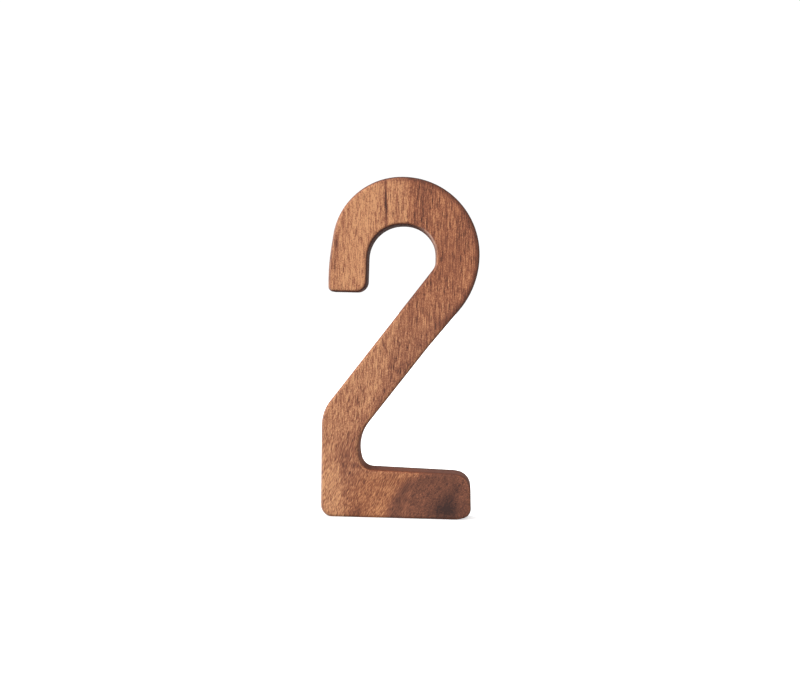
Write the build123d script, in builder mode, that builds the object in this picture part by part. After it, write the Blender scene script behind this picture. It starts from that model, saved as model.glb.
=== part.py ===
"""Walnut table numeral 2.

A solid board cut to the outline of the numeral stands on its own foot. Three strips of
double-sided foam tape on its back, each under a peel-off liner, fix it to a stand, a vase
or a wall. X runs to the reader's right, +Y runs from the face to the back, and Z is up.
The origin is the centre of the foot's underside. All lengths are in millimetres.
"""

import os
from math import cos, radians, sin

from build123d import *

# The board
height = 80.0
thickness = 10.0
face_round = 0.85
back_round = 0.5

# The foot, and the stem that rises from its left end
foot_left = -17.5
foot_right = 17.8
foot_height_at_stem = 11.4
foot_height_at_tip = 10.8
foot_tip_shoulder = (17.45, 10.15)
foot_tip_heel = (14.7, 0)
foot_tip_lift = 0.9
stem_left = -17.8
stem_stroke = 9.9
stem_left_top = 24.6
stem_right_top = (-9.9, 18.1)

# The diagonal, from the stem up to the bowl's right side
diagonal_left_top = 59.15
diagonal_right_top = 54.6
diagonal_right_bend = (6.9, 40.4)
diagonal_slope = 53.1

# The bowl, and the hook that hangs from its left side
bowl_left = -14.1
bowl_right = 18.4
bowl_top_stroke = 11.2
bowl_side_stroke = 10.3
hook_left = -16.8
hook_stroke = 8.9
hook_bottom = 52.8
hook_side_top = (-17.0, 58.5)

# The tape strips and their liners
tape_width = 7.0
tape_thickness = 1.0
tape_corner = 0.8
liner_thickness = 0.12
tab_length = 2.5
tab_corner = 2.8

# Lines that two or more corners of the outline share
stem_right = stem_left + stem_stroke
hook_right = hook_left + hook_stroke
bowl_inner_left = hook_right + 0.15
bowl_inner_right = bowl_right - bowl_side_stroke
bowl_inner_top = height - bowl_top_stroke

# The outline's corners (x, z) and the radius that rounds each one, clockwise as the reader
# sees the face, from the foot's lower left corner. Straight edges join the arcs.
outline = [
    ((foot_left, 0), 2.7),
    ((stem_left, stem_left_top), 9.5),
    ((bowl_inner_right, diagonal_left_top), 3.0),
    ((bowl_inner_right, bowl_inner_top), 7.45),
    ((bowl_inner_left, bowl_inner_top), 8.0),
    ((hook_right, hook_bottom), 2.6),
    ((hook_left, hook_bottom), 1.2),
    (hook_side_top, 50.0),
    ((bowl_left, height), 16.2),
    ((bowl_right, height), 18.1),
    ((bowl_right, diagonal_right_top), 20.0),
    (diagonal_right_bend, 100.0),
    (stem_right_top, 9.3),
    ((stem_right, foot_height_at_stem), 3.0),
    ((foot_tip_heel[0] - 1.1, foot_height_at_tip), 3.5),
    (foot_tip_shoulder, 3.7),
    ((foot_right, foot_tip_lift), 2.3),
    (foot_tip_heel, 6.0),
]

# Each strip's name, the centre of its tape (x, z), its length, and its slope from the X axis
strips = [
    ("upper", (-1.0, 73.7), 13.0, 0.0),
    ("diagonal", (-1.4, 38.0), 26.0, diagonal_slope),
    ("foot", (-0.6, 5.6), 28.0, 0.0),
]


def strip_plane(center, slope, depth):
    """The plane at Y = depth under a strip, with its own x along the strip."""
    return Plane(
        origin=(center[0], depth, center[1]),
        x_dir=(cos(radians(slope)), 0, sin(radians(slope))),
        z_dir=(0, 1, 0),
    )


def save(part, name):
    """Label a finished piece and write it to its own STEP file."""
    part.label = name
    export_step(part, f"parts/{name}.step")


os.makedirs("parts", exist_ok=True)

# The numeral: one board, sawn to the outline, with its front and back edges rounded over
with BuildPart() as numeral:
    with BuildSketch(Plane.XZ.offset(-thickness / 2)):
        with BuildLine():
            corners = [corner for corner, radius in outline]
            radii = [radius for corner, radius in outline]
            FilletPolyline(*corners, radius=radii, close=True)
        make_face()
    extrude(amount=thickness)
    fillet(numeral.faces().sort_by(Axis.Y)[0].edges(), radius=face_round)
    fillet(numeral.faces().sort_by(Axis.Y)[-1].edges(), radius=back_round)
save(numeral.part, "numeral")

# The tape pads lie on the board's back, and each liner covers its pad and ends in a tab
for strip_name, strip_center, strip_length, strip_slope in strips:
    pad_plane = strip_plane(strip_center, strip_slope, thickness / 2)
    with BuildPart() as pad:
        with BuildSketch(pad_plane):
            RectangleRounded(strip_length, tape_width, tape_corner)
        extrude(amount=tape_thickness)
    save(pad.part, f"{strip_name}_tape_pad")

    with BuildPart() as liner:
        with BuildSketch(pad_plane.offset(tape_thickness)) as liner_outline:
            with Locations((tab_length / 2, 0)):
                Rectangle(strip_length + tab_length, tape_width)
            ends = liner_outline.vertices().group_by(Axis.X)
            fillet(ends[0], radius=tape_corner)
            fillet(ends[-1], radius=tab_corner)
        extrude(amount=liner_thickness)
    save(liner.part, f"{strip_name}_liner")
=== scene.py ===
"""Looks for the walnut table numeral 2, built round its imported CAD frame.

The board keeps its CAD shape and gets an oiled walnut finish. Each foam tape pad and each
peel-off liner is a detailed piece that stands for its plain CAD solid.
Blender's lengths are metres. Lengths in a material, and names that end in _mm, are millimetres.
"""

import math

import bmesh
import bpy
import numpy as np
from mathutils import Matrix, Vector, noise


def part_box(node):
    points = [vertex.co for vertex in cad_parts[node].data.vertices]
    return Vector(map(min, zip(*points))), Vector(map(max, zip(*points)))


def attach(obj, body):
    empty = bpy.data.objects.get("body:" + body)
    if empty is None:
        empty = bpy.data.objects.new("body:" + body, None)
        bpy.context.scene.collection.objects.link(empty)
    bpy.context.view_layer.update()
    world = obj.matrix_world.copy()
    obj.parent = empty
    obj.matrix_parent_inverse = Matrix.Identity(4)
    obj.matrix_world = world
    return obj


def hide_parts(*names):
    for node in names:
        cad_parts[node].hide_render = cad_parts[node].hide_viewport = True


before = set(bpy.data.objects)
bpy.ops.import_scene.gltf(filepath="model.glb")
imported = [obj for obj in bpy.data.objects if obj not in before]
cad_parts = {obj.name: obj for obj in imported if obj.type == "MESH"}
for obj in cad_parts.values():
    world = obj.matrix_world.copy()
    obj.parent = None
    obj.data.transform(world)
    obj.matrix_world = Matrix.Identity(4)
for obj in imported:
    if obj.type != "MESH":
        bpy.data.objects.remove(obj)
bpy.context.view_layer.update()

MM = 0.001

# The camera stands a little to the right of the numeral's middle and a little above it.
# Angles are in degrees, and the lens and sensor in millimetres
camera_azimuth = 2.15
camera_elevation = 1.15
camera_distance = 0.3629
camera_roll = 1.27
camera_lens = 68.9
camera_sensor = 36.0
aim_right = -0.24 * MM
aim_up = 1.27 * MM


# ---------------------------------------------------------------- shader arithmetic


class Field:
    """A number or vector that varies over a surface. Arithmetic on it adds the nodes it needs."""

    def __init__(self, graph, socket):
        self.graph = graph
        self.socket = socket

    def __add__(self, other):
        return self.graph.math("ADD", self, other)

    def __sub__(self, other):
        return self.graph.math("SUBTRACT", self, other)

    def __mul__(self, other):
        return self.graph.math("MULTIPLY", self, other)

    def __truediv__(self, other):
        return self.graph.math("DIVIDE", self, other)

    def __neg__(self):
        return self.graph.math("MULTIPLY", self, -1.0)

    def __radd__(self, other):
        return self.graph.math("ADD", other, self)

    def __rsub__(self, other):
        return self.graph.math("SUBTRACT", other, self)

    def absolute(self):
        return self.graph.math("ABSOLUTE", self)

    def exp(self):
        return self.graph.math("EXPONENT", self)

    def bell(self, width):
        """1 where the field is 0, falling off to nothing over about twice the width."""
        scaled = self / width
        return (-(scaled * scaled)).exp()

    def step(self, start, end):
        """0 at start and 1 at end, with a smooth rise between them."""
        made = self.graph.node("MapRange", interpolation_type="SMOOTHSTEP")
        self.graph.feed(made.inputs["Value"], self)
        made.inputs["From Min"].default_value = start
        made.inputs["From Max"].default_value = end
        return Field(self.graph, made.outputs["Result"])

    def blend(self, other, factor):
        """This field where factor is 0, and the other where it is 1."""
        return self + (other - self) * factor


class Graph:
    """A material's node tree, with short ways to add nodes to it."""

    def __init__(self, name):
        self.material = bpy.data.materials.new(name)
        self.material.use_nodes = True
        self.tree = self.material.node_tree
        self.shader = self.tree.nodes["Principled BSDF"]
        self.coordinates = self.node("TexCoord")

    def node(self, kind, **settings):
        made = self.tree.nodes.new("ShaderNode" + kind)
        for name, value in settings.items():
            setattr(made, name, value)
        return made

    def feed(self, socket, value):
        if isinstance(value, Field):
            self.tree.links.new(value.socket, socket)
        else:
            socket.default_value = value

    def math(self, operation, *values):
        made = self.node("Math", operation=operation)
        for socket, value in zip(made.inputs, values):
            self.feed(socket, value)
        return Field(self, made.outputs[0])

    def position(self):
        """Where a point is on its piece, in millimetres: fields x, y and z."""
        scaled = self.node("VectorMath", operation="SCALE")
        self.tree.links.new(self.coordinates.outputs["Object"], scaled.inputs[0])
        scaled.inputs["Scale"].default_value = 1 / MM
        return self.split(scaled.outputs[0])

    def normal(self):
        """Which way the surface faces: fields x, y and z."""
        return self.split(self.coordinates.outputs["Normal"])

    def split(self, socket):
        made = self.node("SeparateXYZ")
        self.tree.links.new(socket, made.inputs[0])
        return [Field(self, out) for out in made.outputs]

    def length(self, first, second):
        """How long a line is that goes first one way and second the other, square to it."""
        return self.math("SQRT", first * first + second * second)

    def vector(self, x, y, z):
        made = self.node("CombineXYZ")
        for socket, value in zip(made.inputs, (x, y, z)):
            self.feed(socket, value)
        return Field(self, made.outputs[0])

    def noise(self, place, scale=1.0, detail=2.0, roughness=0.5):
        """Smooth noise from 0 to 1."""
        made = self.node("TexNoise")
        self.feed(made.inputs["Vector"], place)
        made.inputs["Scale"].default_value = scale
        made.inputs["Detail"].default_value = detail
        made.inputs["Roughness"].default_value = roughness
        return Field(self, made.outputs["Fac"])

    def cells(self, place, scale=1.0):
        """Distance to the nearest scattered point, and a random number for each point."""
        made = self.node("TexVoronoi")
        self.feed(made.inputs["Vector"], place)
        made.inputs["Scale"].default_value = scale
        chance = self.split(made.outputs["Color"])[0]
        return Field(self, made.outputs["Distance"]), chance

    def spot(self, place, center, reach, slope=0.0):
        """A soft oval in the board's plane: center (x, z), half-sizes (along, across), and slope.

        The slope is that of the long side, in degrees.
        """
        local = self.node("Mapping", vector_type="TEXTURE")
        self.feed(local.inputs["Vector"], place)
        local.inputs["Location"].default_value = (center[0], 0, center[1])
        local.inputs["Rotation"].default_value = (0, -math.radians(slope), 0)
        local.inputs["Scale"].default_value = (reach[0], 1, reach[1])
        squared = self.node("VectorMath", operation="DOT_PRODUCT")
        self.tree.links.new(local.outputs[0], squared.inputs[0])
        self.tree.links.new(local.outputs[0], squared.inputs[1])
        return (-Field(self, squared.outputs["Value"])).exp()

    def ramp(self, field, stops):
        """The colour at each value of field: stops are (value, sRGB colour from 0 to 255)."""
        made = self.node("ValToRGB")
        self.feed(made.inputs["Fac"], field)
        elements = made.color_ramp.elements
        while len(elements) < len(stops):
            elements.new(1.0)
        for element, (value, color) in zip(elements, stops):
            element.position = value
            element.color = linear(*color)
        return Field(self, made.outputs["Color"])

    def mix_color(self, factor, first, second, blend_type="MIX"):
        made = self.node("Mix", data_type="RGBA", blend_type=blend_type)
        self.feed(made.inputs[0], factor)
        self.feed(made.inputs[6], first)
        self.feed(made.inputs[7], second)
        return Field(self, made.outputs[2])

    def bump(self, height, depth_mm):
        made = self.node("Bump")
        self.feed(made.inputs["Height"], height)
        made.inputs["Distance"].default_value = depth_mm * MM
        self.tree.links.new(made.outputs[0], self.shader.inputs["Normal"])

    def finish(self, color, roughness, **shares):
        """Feed the shader: colour and roughness, and any of its other sockets by name."""
        self.feed(self.shader.inputs["Base Color"], color)
        self.feed(self.shader.inputs["Roughness"], roughness)
        for name, value in shares.items():
            self.shader.inputs[name.replace("_", " ")].default_value = value
        return self.material


def linear(red, green, blue):
    """An sRGB colour from 0 to 255 as Blender's linear RGBA."""
    parts = [value / 255 for value in (red, green, blue)]
    return tuple(p / 12.92 if p <= 0.04045 else ((p + 0.055) / 1.055) ** 2.4 for p in parts) + (1.0,)


# ---------------------------------------------------------------- walnut

# The bowl, in millimetres: the arcs of its outer edge, and the middle (x, z) of its opening
BOWL_TOP_RADIUS = 18.1
BOWL_SIDE_RADIUS = 20.0
BOWL_CENTER = (1.0, 61.0)

# The middle (x, z) of the rings round the foot's dark patch, and the size of a pore
PATCH_CENTER = (12.0, 1.0)
PORE_WIDTH = 0.34
PORE_LENGTH = 2.8

# A painted highlight on the bowl's inner edge: center (x, z), half-sizes and slope
HIGHLIGHT_SPOT = ((7.2, 65.9), (2.7, 1.5), -60)

# Tone runs from 0, the darkest heartwood, to 1, the palest wood
WALNUT_STOPS = [
    (0.00, (66, 46, 42)),
    (0.14, (98, 63, 52)),
    (0.29, (119, 76, 60)),
    (0.46, (145, 92, 71)),
    (0.57, (161, 104, 77)),
    (0.71, (182, 123, 91)),
    (0.82, (197, 137, 101)),
    (0.93, (212, 153, 112)),
    (1.00, (226, 168, 122)),
]

# Marks in the board that a buyer would see: center (x, z), half-sizes (along, across), slope of
# the long side in degrees, and how much the mark lightens or darkens the tone
WALNUT_MARKS = [
    # the bowl's top: a dark vein and fainter lines beside it
    ((-3.8, 74.4), (5.5, 0.26), 93, -0.80),
    ((-1.1, 74.5), (5.0, 0.40), 91, -0.16),
    ((-8.8, 74.5), (4.0, 0.60), 90, 0.04),
    ((-6.9, 74.0), (4.5, 0.80), 90, 0.05),
    ((4.7, 74.6), (5.0, 0.40), 90, -0.10),
    ((8.2, 73.5), (4.0, 1.2), 89, 0.08),
    # the hook: a pale band down its inner side, flecks above it, a brown outer side
    ((-9.9, 60.0), (8.5, 1.5), 90, 0.07),
    ((-15.1, 64.8), (1.6, 0.55), 88, -0.36),
    ((-13.7, 65.2), (1.5, 0.8), 85, 0.08),
    ((-9.3, 64.8), (1.4, 0.25), 88, -0.22),
    ((-16.2, 61.0), (6.5, 1.7), 86, -0.21),
    # the bowl's right side
    ((13.0, 60.0), (8.0, 1.2), 86, -0.10),
    ((9.0, 58.0), (7.0, 0.8), 88, -0.04),
    # the diagonal: brown streaks with a pale band between them
    ((6.8, 48.0), (9.0, 2.6), 66, 0.10),
    ((2.6, 47.8), (2.6, 0.8), 86, -0.12),
    ((-1.4, 38.2), (5.0, 0.7), 86, -0.12),
    ((0.8, 33.5), (4.0, 0.8), 82, -0.08),
    ((-5.4, 32.6), (7.0, 1.1), 83, 0.10),
    ((-9.4, 27.0), (3.2, 0.7), 84, -0.13),
    # the stem and the foot
    ((-12.0, 14.3), (4.2, 0.9), 78, -0.09),
    ((-13.9, 13.9), (1.1, 0.8), 40, -0.08),
    ((-8.8, 1.4), (1.6, 1.3), 60, -0.29),
    ((-3.9, 1.6), (2.2, 1.1), 60, 0.16),
    ((-1.8, 6.0), (3.5, 0.9), 57, 0.05),
    ((11.9, 2.4), (3.4, 2.3), 12, -0.36),
    ((13.0, 5.8), (2.8, 1.2), 40, -0.15),
    ((15.8, 7.6), (2.5, 1.2), 100, 0.04),
    ((8.5, 9.6), (6.0, 1.5), 0, -0.07),
    ((2.6, 1.4), (1.6, 1.6), 0, 0.10),
    ((1.6, 6.5), (4.5, 0.5), 70, -0.07),
    ((3.4, 6.0), (4.0, 0.5), 72, 0.05),
]


def outer_edge_gap(graph, x, z):
    """How far a point is from the bowl's outer edge, at its top and down its right side."""
    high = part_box("numeral")[1]
    right, top = high.x / MM, high.z / MM
    top_arc = (right - BOWL_TOP_RADIUS, top - BOWL_TOP_RADIUS)
    side_arc = (right - BOWL_SIDE_RADIUS, top - BOWL_TOP_RADIUS)
    top_gap = BOWL_TOP_RADIUS - graph.length(x - top_arc[0], z - top_arc[1])
    side_gap = BOWL_SIDE_RADIUS - graph.length(x - side_arc[0], z - side_arc[1])
    return side_gap.blend(top_gap, z.step(side_arc[1] - 1.0, side_arc[1] + 1.0))


class Grain:
    """Where a point of the board lies: in millimetres, along the fibres, and round the dark patch."""

    def __init__(self, graph):
        self.x, self.y, self.z = graph.position()
        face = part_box("numeral")[0].y / MM
        self.slanted = self.x + (self.y - face) * 0.35

        # Fibre space: u runs across the fibres in the face's plane, v into the board, z along them
        bend = (self.x + 1.3).bell(22.2) * (self.z + 8.8).bell(20.6) * 11.9
        self.u = self.slanted + bend
        self.v = self.y - (self.z * -0.05).exp() * 6.4
        self.wander = self.noise(graph, 0.2, 0.2, self.z * 0.04, detail=1.0)

        # Rings round the dark patch at the foot's right end, where the fibres run into the board
        across = (self.slanted - PATCH_CENTER[0]) / 1.3
        rise = self.z - PATCH_CENTER[1]
        self.from_patch = graph.length(across, rise) + self.wander * 2.0
        self.calm = self.from_patch.step(21.0, 12.0) * self.z.step(14.0, 10.0)

        # How far up the board a point is: 0 at the foot and 1 in the bowl
        self.upper = self.z.step(36.0, 60.0)
        self.bowl = self.z.step(40.0, 52.0)

    def noise(self, graph, across, inward, along, **shape):
        """Noise in fibre space from -0.5 to 0.5: across and inward are its scales, along a place."""
        return graph.noise(graph.vector(self.u * across, self.v * inward, along), **shape) - 0.5


class Facing:
    """Which way the board's surface faces: its two faces, its rounded edges or its sides."""

    def __init__(self, graph):
        self.x, face_y, self.z = graph.normal()
        self.out = 1.0 - face_y.absolute()
        self.side = self.out.step(0.25, 0.90)
        self.rim = self.out.step(0.03, 0.45)
        self.rounded = self.out.step(0.02, 0.25) * self.out.step(0.97, 0.75)
        self.end_grain = self.z.absolute().step(0.30, 0.80)
        self.to_left = self.x.step(-0.1, -0.6) * self.z.step(0.40, 0.10)


def broad_tone(grain):
    """Pale wood to the left of a ring boundary and brown to its right, with the foot's own rings."""
    boundary = 1.5 - grain.z.bell(25.5) * 21.6
    ring = grain.slanted - boundary + grain.wander * 1.5
    edge_softness = 3.0 - grain.upper * 1.8
    pale_share = (ring / edge_softness).step(0.8, -1.0)
    pale = 0.755 + grain.upper * 0.10
    brown = 0.545 + grain.slanted.step(9.0, 17.0) * 0.07 * grain.upper
    tone = brown.blend(pale, pale_share)

    corner = (grain.slanted + grain.z * 0.12).step(-11.2, -12.4) * grain.z.step(16.0, 9.0)
    tone = tone.blend(0.84, corner)
    outer_rings = grain.from_patch.step(21.6, 15.2) * grain.z.step(14.0, 10.0)
    tone = tone.blend(0.62, outer_rings * (1.0 - corner))
    tone = tone.blend(0.31, grain.from_patch.step(11.6, 9.4) * grain.z.step(14.0, 12.0))
    return tone, ring, pale_share


def ragged_place(graph, grain):
    """Where a point is for the listed marks, moved a little so that their edges are ragged."""
    ragged = grain.noise(graph, 0.9, 0.3, grain.z * 0.12, detail=2.0)
    return graph.vector(grain.slanted + ragged * 0.5, 0.0, grain.z + ragged * 2.0)


def fine_figure(graph, grain, facing, ring):
    """Clouds, ring lines, streaks, threads and grit: all together, and the last three alone."""
    z = grain.z
    cloud = grain.noise(graph, 0.35, 0.35, z * 0.14, detail=2.0)
    lines = graph.noise(graph.vector(ring * 0.9, grain.v * 0.25, z * 0.015), detail=2.0) - 0.5
    streak = grain.noise(graph, 3.0, 3.0, z * 0.05, detail=1.0, roughness=0.6)
    thread = grain.noise(graph, 4.9, 4.9, z * 0.45, detail=0.0)
    hatched = z.step(24.0, 14.0) * grain.x.step(4.0, -2.0)
    along_grit = z * 3.0 + hatched * (20.0 - z) * 1.9
    grit = grain.noise(graph, 5.6, 3.2, along_grit, detail=1.0, roughness=0.6)
    sawn = 1.0 - facing.side * 0.10 - facing.end_grain * 0.25
    fibers = streak * (0.62 + facing.side * 0.50) + thread * 0.80 * (1.0 - grain.calm * 0.6) * sawn
    figure = cloud * 0.12 + lines * 0.20 + fibers + grit * (1.12 + grain.calm * 0.4) * sawn
    return figure, streak, thread, grit


def pores(graph, grain):
    """Short dark grooves along the fibres, cut short where the fibres dive at the foot."""
    place = graph.vector(grain.u / PORE_WIDTH, grain.v / PORE_WIDTH, grain.z / PORE_LENGTH)
    distance, chance = graph.cells(place)
    return (distance - chance * 0.34).step(0.03, -0.06) * (1.0 - grain.calm * 0.8)


def painted_shade_share(graph, grain, facing):
    """The share of the tone that is left under painted shade on the sides and rounded edges.

    Shade is painted on the bowl's edges that don't face left, most of all inside the bowl, on edges
    that face up, on the back of the bowl's sides, on the face along the bowl's outer outline and on
    every side.
    """
    x, y, z = grain.x, grain.y, grain.z
    # Painted shade on the bowl's edges where they don't face left, darkest inside the bowl and on its
    # rounded edges
    toward_middle = facing.x * (x - BOWL_CENTER[0]) + facing.z * (z - BOWL_CENTER[1])
    inside = toward_middle.step(2.0, -2.0)
    bowl_shade_strength = (0.56 + facing.rounded * 0.34).blend(0.90, inside)
    bowl_shade = grain.bowl * facing.x.step(-1.0, 0.1) * bowl_shade_strength
    # Painted shade on edges that face up, deeper towards the back
    upward_shade = facing.z.step(0.4, 0.9) * (0.45 + y.step(1.0, 4.5) * 0.40)
    # Painted shade on the back half of the bowl's sides
    back_shade = y.step(1.5, 4.6) * grain.bowl * 0.60
    # Painted shade in a band on the face along the bowl's outer outline, at its top and right side
    near_outline = outer_edge_gap(graph, x, z).step(1.5, 0.3)
    outline_shade = near_outline * x.step(-9.0, 3.0) * z.step(42.0, 50.0) * 0.52
    # Painted shade on every side, less where it faces left towards the key light
    side_shade = facing.out.step(0.30, 0.80) * (1.0 - facing.to_left * 0.6) * 0.40
    kept = (1.0 - facing.rim * bowl_shade) * (1.0 - facing.rim * upward_shade)
    kept = kept * (1.0 - facing.side * back_shade) * (1.0 - side_shade)
    return kept * (1.0 - (1.0 - facing.rim) * outline_shade)


def walnut_color(graph, grain, facing, tone, pale_share, painted_spot_highlight):
    """The tone's colour, with its tints and its painted highlights.

    It is orange round the dark patch and redder in the upper brown wood. Edges that face up below the
    bowl get a painted warm tint against their grey sheen. Front edges that face left, and one place
    on the bowl's inner edge, get a pale painted highlight.
    """
    color = graph.ramp(tone, WALNUT_STOPS)
    orange = grain.from_patch.step(21.0, 15.0) * grain.from_patch.step(9.4, 11.6)
    orange = orange * grain.z.step(14.0, 9.0)
    color = graph.mix_color(orange * 0.8, color, linear(255, 246, 232), "MULTIPLY")
    redder = grain.upper * (1.0 - pale_share * 0.6)
    color = graph.mix_color(redder, color, linear(254, 244, 238), "MULTIPLY")
    # Painted tint: edges that face up below the bowl are made warmer and a little darker against the
    # grey sheen the lights give them
    painted_upward_tint = facing.rim * facing.z.step(0.4, 0.9) * (1.0 - grain.bowl)
    color = graph.mix_color(painted_upward_tint, color, linear(255, 232, 214), "MULTIPLY")
    # Painted highlights: pale pink on front edges that face left towards the key light, and at one
    # place on the bowl's inner edge
    painted_highlights = facing.rounded * facing.to_left * grain.y.step(0.0, -2.0) * 0.30 + painted_spot_highlight * 0.60
    return graph.mix_color(painted_highlights, color, linear(218, 184, 170))


def walnut():
    """Oiled walnut: fibres that rise with the board and bend at the foot, rings, marks and pores."""
    graph = Graph("oiled_walnut")
    grain = Grain(graph)
    facing = Facing(graph)

    tone, ring, pale_share = broad_tone(grain)
    place = ragged_place(graph, grain)
    for center, reach, slope, change in WALNUT_MARKS:
        tone = tone + graph.spot(place, center, reach, slope) * change

    figure, streak, thread, grit = fine_figure(graph, grain, facing, ring)
    pore = pores(graph, grain)
    contrast = tone.step(0.05, 0.62) * 0.65 + 0.35
    tone = tone + (figure - pore * 0.40) * contrast

    # Where the face begins to round over it gets painted light: lighter where it faces right below
    # the bowl, and a painted highlight at one place on the bowl's inner edge; the sides and edges
    # get painted shade
    rounding_band = facing.out.step(0.01, 0.06) * facing.out.step(0.36, 0.18)
    painted_edge_light = rounding_band * facing.x.step(0.05, 0.30) * (1.0 - grain.bowl) * 0.12
    painted_spot_highlight = rounding_band * graph.spot(place, *HIGHLIGHT_SPOT)
    tone = tone * painted_shade_share(graph, grain, facing) + painted_edge_light + painted_spot_highlight * 0.30

    color = walnut_color(graph, grain, facing, tone, pale_share, painted_spot_highlight)
    rough = 0.58 - streak * 0.14 + pore * 0.15 + facing.side * 0.40
    graph.bump(thread * 0.5 + grit * 0.3 - pore, 0.04)
    return graph.finish(color, rough, Specular_IOR_Level=0.15)


# ---------------------------------------------------------------- foam tape and its liners

ring_spacing = 0.3 * MM

# The foam tape: its cut sides are pressed in and pitted, between two thin adhesive films
tape_corner = 0.8 * MM
pit_size = 0.35 * MM
pit_depth = 0.06 * MM
ripple_size = 1.6 * MM
ripple_depth = 0.03 * MM
# (share of the thickness, how far the side stands in from the outline, share of the pits)
TAPE_SIDE = [
    (0.00, 0.07 * MM, 0.0),
    (0.03, 0.01 * MM, 0.0),
    (0.08, 0.01 * MM, 0.1),
    (0.11, 0.06 * MM, 0.6),
    (0.22, 0.09 * MM, 1.0),
    (0.36, 0.12 * MM, 1.0),
    (0.50, 0.13 * MM, 1.0),
    (0.64, 0.12 * MM, 1.0),
    (0.78, 0.09 * MM, 1.0),
    (0.89, 0.06 * MM, 0.6),
    (0.92, 0.01 * MM, 0.1),
    (0.97, 0.01 * MM, 0.0),
    (1.00, 0.07 * MM, 0.0),
]

# The liner: thin paper that follows the tape loosely and lifts at its tab
liner_corner = 0.8 * MM
tab_corner = 2.8 * MM
tab_lift = 0.18 * MM
wrinkle_size = 3.5 * MM
wrinkle_height = 0.05 * MM

# How far each ring of a flat face has moved in from the edge, 0, to the strip's middle line, 1
FACE_RINGS = [0.0, 0.06, 0.15, 0.27, 0.40, 0.54, 0.68, 0.82, 1.0]


class Strip:
    """Where a tape strip lies on the board's back, worked out from its CAD tape and liner.

    Points on it are (along, across): along runs from the tape's centre towards the liner's tab.
    """

    def __init__(self, name):
        tape = node_points(name + "_tape_pad")
        flat = tape[:, [0, 2]]
        self.center = (flat.min(axis=0) + flat.max(axis=0)) / 2
        long_axis = np.linalg.eigh(np.cov((flat - self.center).T))[1][:, 1]
        self.along = long_axis * np.sign(long_axis[0])
        self.across = np.array([-self.along[1], self.along[0]])
        self.half_length = ((flat - self.center) @ self.along).max()
        self.half_width = ((flat - self.center) @ self.across).max()
        self.tape_depths = (tape[:, 1].min(), tape[:, 1].max())
        liner = node_points(name + "_liner")
        reach = (liner[:, [0, 2]] - self.center) @ self.along
        self.liner_reach = (reach.min(), reach.max())
        self.liner_depths = (liner[:, 1].min(), liner[:, 1].max())

    def point(self, spot, depth):
        """The place in space of a point on the strip, at Y = depth."""
        x, z = self.center + self.along * spot[0] + self.across * spot[1]
        return Vector((x, depth, z))


def node_points(node):
    return np.array([vertex.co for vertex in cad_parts[node].data.vertices])


def straight(first, last):
    """Evenly spaced points from first up to, but not including, last."""
    first, last = np.array(first), np.array(last)
    count = max(1, round(np.linalg.norm(last - first) / ring_spacing))
    return [first + (last - first) * i / count for i in range(count)]


def quarter_turn(center, radius, start):
    """Points clockwise round a quarter circle from the start angle, in degrees, but for the last."""
    count = max(4, round(radius * math.pi / 2 / ring_spacing))
    angles = [math.radians(start - 90 * i / count) for i in range(count)]
    return [np.array(center) + radius * np.array([math.cos(a), math.sin(a)]) for a in angles]


def outline(start, end, half_width, start_corner, end_corner):
    """A strip's outline with rounded corners, as points (along, across), alike on both sides."""
    upper = straight((start, 0), (start, half_width - start_corner))
    upper += quarter_turn((start + start_corner, half_width - start_corner), start_corner, 180)
    upper += straight((start + start_corner, half_width), (end - end_corner, half_width))
    upper += quarter_turn((end - end_corner, half_width - end_corner), end_corner, 90)
    upper += straight((end, half_width - end_corner), (end, 0))
    tip = [np.array([end, 0.0])]
    lower = [point * (1, -1) for point in reversed(upper[1:])]
    return np.array(upper + tip + lower)


def moved_in(points, distances):
    """The outline with each point moved in, square to the outline, by its own distance."""
    tangents = np.roll(points, -1, axis=0) - np.roll(points, 1, axis=0)
    tangents /= np.linalg.norm(tangents, axis=1)[:, None]
    inward = np.column_stack([tangents[:, 1], -tangents[:, 0]])
    return points + inward * np.reshape(distances, (-1, 1))


def towards_middle(points, share, half_width):
    """The outline drawn in towards the strip's middle line, which it reaches at a share of 1."""
    start, end = points[:, 0].min(), points[:, 0].max()
    middle_line = points * (1, 0)
    middle_line[:, 0] = middle_line[:, 0].clip(start + half_width, end - half_width)
    return points + (middle_line - points) * share


def loft(name, rings, material):
    """A closed mesh through rings of points, welded where its first and last rings have closed up."""
    made = bmesh.new()
    loops = [[made.verts.new(point) for point in ring] for ring in rings]
    for lower, upper in zip(loops, loops[1:]):
        for here in range(len(lower)):
            after = (here + 1) % len(lower)
            made.faces.new((lower[here], lower[after], upper[after], upper[here]))
    bmesh.ops.remove_doubles(made, verts=made.verts, dist=0.001 * MM)
    bmesh.ops.recalc_face_normals(made, faces=made.faces)
    mesh = bpy.data.meshes.new(name)
    made.to_mesh(mesh)
    made.free()
    mesh.shade_smooth()
    mesh.set_sharp_from_angle(angle=math.radians(50))
    mesh.materials.append(material)
    piece = bpy.data.objects.new(name, mesh)
    bpy.context.scene.collection.objects.link(piece)
    return piece


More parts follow.
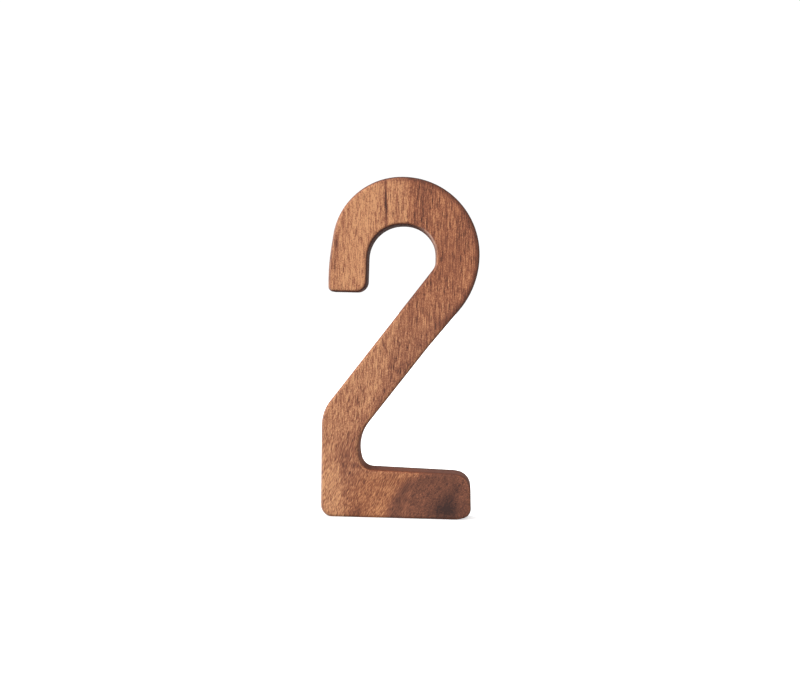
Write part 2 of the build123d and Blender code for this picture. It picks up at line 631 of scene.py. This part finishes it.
def foam_tape(strip_name, material):
    """A slab of foam with sunken, pitted sides between two adhesive films with a slight ripple."""
    strip = Strip(strip_name)
    low, high = strip.tape_depths
    edge = outline(-strip.half_length, strip.half_length, strip.half_width, tape_corner, tape_corner)

    def face_ring(share, depth, ripple_way):
        """A ring of a sticking face, which ripples into the foam and never out of it."""
        rim = moved_in(edge, TAPE_SIDE[0][1])
        ring = []
        for spot in towards_middle(rim, share, strip.half_width):
            ripple = noise.noise(strip.point(spot, depth) / ripple_size) * 0.5 + 0.5
            ring.append(strip.point(spot, depth + ripple_way * ripple * ripple_depth * share))
        return ring

    def side_ring(level, inset, pitted):
        depth = low + (high - low) * level
        pits = [noise.noise(strip.point(spot, depth) / pit_size) * 0.5 + 0.5 for spot in edge]
        spots = moved_in(edge, inset + np.array(pits) * pit_depth * pitted)
        return [strip.point(spot, depth) for spot in spots]

    rings = [face_ring(share, low, 1) for share in reversed(FACE_RINGS[1:])]
    rings += [side_ring(*level) for level in TAPE_SIDE]
    rings += [face_ring(share, high, -1) for share in FACE_RINGS[1:]]
    piece = loft(strip_name + "_foam_tape", rings, material)
    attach(piece, "board")
    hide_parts(strip_name + "_tape_pad")


def liner(strip_name, material):
    """A thin paper liner: faint wrinkles over the tape, and a rounded tab that lifts a little."""
    strip = Strip(strip_name)
    low, high = strip.liner_depths
    start, end = strip.liner_reach
    edge = outline(start, end, strip.half_width, liner_corner, tab_corner)

    def lift(spot):
        past_tape = max(0.0, spot[0] - strip.half_length) / (end - strip.half_length)
        wrinkle = noise.noise(strip.point(spot, low) / wrinkle_size) * 0.5 + 0.5
        corner_curl = (abs(spot[1]) / strip.half_width) ** 4 * 0.25
        return past_tape**1.5 * tab_lift * (1 + corner_curl) + wrinkle * wrinkle_height

    def ring(share, depth):
        spots = towards_middle(edge, share, strip.half_width)
        return [strip.point(spot, depth + lift(spot)) for spot in spots]

    rings = [ring(share, low) for share in reversed(FACE_RINGS)]
    rings += [ring(share, high) for share in FACE_RINGS]
    piece = loft(strip_name + "_release_liner", rings, material)
    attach(piece, strip_name + "_liner")
    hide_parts(strip_name + "_liner")


FOAM_STOPS = [
    (0.00, (188, 184, 174)),
    (0.40, (222, 219, 211)),
    (0.75, (239, 237, 232)),
    (1.00, (248, 247, 244)),
]


def foam():
    """White foam whose cut cells show on its sides, under a smooth adhesive on its faces."""
    graph = Graph("white_foam")
    x, y, z = graph.position()
    adhesive = graph.normal()[1].absolute().step(0.85, 0.98)
    place = graph.vector(x, y, z)
    distance, chance = graph.cells(place, scale=4.5)
    cell = distance.step(0.55, 0.15)
    cloud = graph.noise(place, scale=0.8, detail=3.0) - 0.5
    speck = graph.noise(place, scale=9.0, detail=2.0) - 0.5
    cells = cell * (0.16 + chance * 0.20) * (1.0 - adhesive * 0.75)
    tone = 0.84 + cloud * 0.25 + speck * 0.16 - cells
    rough = 0.85 - adhesive * 0.50 + cloud * 0.20
    graph.bump(speck * 0.3 - cell * (1.0 - adhesive * 0.85), 0.05)
    return graph.finish(graph.ramp(tone, FOAM_STOPS), rough, Specular_IOR_Level=0.35)


LINER_STOPS = [
    (0.00, (226, 212, 178)),
    (0.35, (241, 231, 203)),
    (0.65, (248, 241, 220)),
    (1.00, (253, 249, 235)),
]


def release_paper():
    """Pale yellow glassine: cloudy, with fine fibres both ways, and satin from its silicone."""
    graph = Graph("release_paper")
    x, y, z = graph.position()
    cloud = graph.noise(graph.vector(x, y, z), scale=0.45, detail=4.0, roughness=0.6) - 0.5
    lengthwise = graph.noise(graph.vector(x, y, z * 7.0), detail=2.0) - 0.5
    crosswise = graph.noise(graph.vector(x * 7.0, y, z), detail=2.0) - 0.5
    fleck = graph.noise(graph.vector(x, y, z), scale=3.2, detail=2.0).step(0.66, 0.78)
    fibers = lengthwise + crosswise
    tone = 0.58 + cloud * 0.70 + fibers * 0.35 - fleck * 0.25
    rough = 0.42 + cloud * 0.25 + fibers * 0.12
    graph.bump(fibers * 0.5 + cloud, 0.02)
    return graph.finish(graph.ramp(tone, LINER_STOPS), rough, Specular_IOR_Level=0.45)


# ---------------------------------------------------------------- stage, lights, camera


def glowing_floor():
    """A pale matte floor that glows a little, as a light table does."""
    graph = Graph("pale_floor")
    white = linear(245, 245, 245)
    return graph.finish(white, 0.9, Emission_Color=white, Emission_Strength=0.55)


def floor():
    """A wide pale floor at the height that the foot stands on."""
    half = 40.0
    corners = [(-half, -half, 0), (half, -half, 0), (half, half, 0), (-half, half, 0)]
    mesh = bpy.data.meshes.new("floor")
    mesh.from_pydata(corners, [], [(0, 1, 2, 3)])
    made = bpy.data.objects.new("floor", mesh)
    bpy.context.scene.collection.objects.link(made)
    mesh.materials.append(glowing_floor())
    # The numeral's matte surfaces don't see the floor, so its glow doesn't light them
    made.visible_diffuse = False


def soft_light(name, azimuth, elevation, spread, strength):
    """A soft light from far off in that direction: spread is how wide it looks, in degrees."""
    data = bpy.data.lights.new(name, "SUN")
    data.angle = math.radians(spread)
    data.energy = strength
    lamp = bpy.data.objects.new(name, data)
    bpy.context.scene.collection.objects.link(lamp)
    lamp.rotation_euler = direction(azimuth, elevation).to_track_quat("Z", "Y").to_euler()


def direction(azimuth, elevation):
    """The way from the numeral to something at that azimuth, towards +X, and elevation, in degrees."""
    a = math.radians(azimuth)
    e = math.radians(elevation)
    return Vector((math.sin(a) * math.cos(e), -math.cos(a) * math.cos(e), math.sin(e)))


def middle():
    low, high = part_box("numeral")
    return (low + high) / 2


def surroundings(ambient):
    """A white backdrop that the camera sees, and dimmer soft light for everything else."""
    seen_white = 1.05
    world = bpy.data.worlds.new("studio")
    bpy.context.scene.world = world
    world.use_nodes = True
    nodes = world.node_tree.nodes
    background = nodes["Background"]
    background.inputs["Color"].default_value = (1, 1, 1, 1)
    path = nodes.new("ShaderNodeLightPath")
    strength = nodes.new("ShaderNodeMath")
    strength.operation = "MULTIPLY_ADD"
    strength.inputs[1].default_value = seen_white - ambient
    strength.inputs[2].default_value = ambient
    world.node_tree.links.new(path.outputs["Is Camera Ray"], strength.inputs[0])
    world.node_tree.links.new(strength.outputs[0], background.inputs["Strength"])


def studio():
    bpy.context.scene.view_settings.view_transform = "Standard"
    floor()
    surroundings(ambient=0.20)
    soft_light("key", -42, 28, 45, 2.6)
    soft_light("overhead", -30, 80, 60, 0.6)
    soft_light("right_fill", 60, 5, 60, 1.0)
    soft_light("rear_left", 215, 45, 40, 2.2)
    soft_light("rear_right", 145, 25, 35, 1.0)


def camera():
    back = direction(camera_azimuth, camera_elevation)
    right = Vector((0, 0, 1)).cross(back).normalized()
    up = back.cross(right)
    roll = math.radians(camera_roll)
    tilted_right = right * math.cos(roll) + up * math.sin(roll)
    tilted_up = up * math.cos(roll) - right * math.sin(roll)
    place = middle() + Vector((aim_right, 0, aim_up)) + back * camera_distance
    data = bpy.data.cameras.new("camera")
    data.lens = camera_lens
    data.sensor_width = camera_sensor
    data.clip_start = 0.01
    made = bpy.data.objects.new("camera", data)
    bpy.context.scene.collection.objects.link(made)
    turned = Matrix((tilted_right, tilted_up, back)).transposed().to_4x4()
    made.matrix_world = Matrix.Translation(place) @ turned
    bpy.context.scene.camera = made


# ---------------------------------------------------------------- the object

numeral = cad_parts["numeral"]
numeral.data.materials.clear()
numeral.data.materials.append(walnut())

white_foam = foam()
paper = release_paper()
for strip_name in ("upper", "diagonal", "foot"):
    foam_tape(strip_name, white_foam)
    liner(strip_name, paper)

studio()
camera()
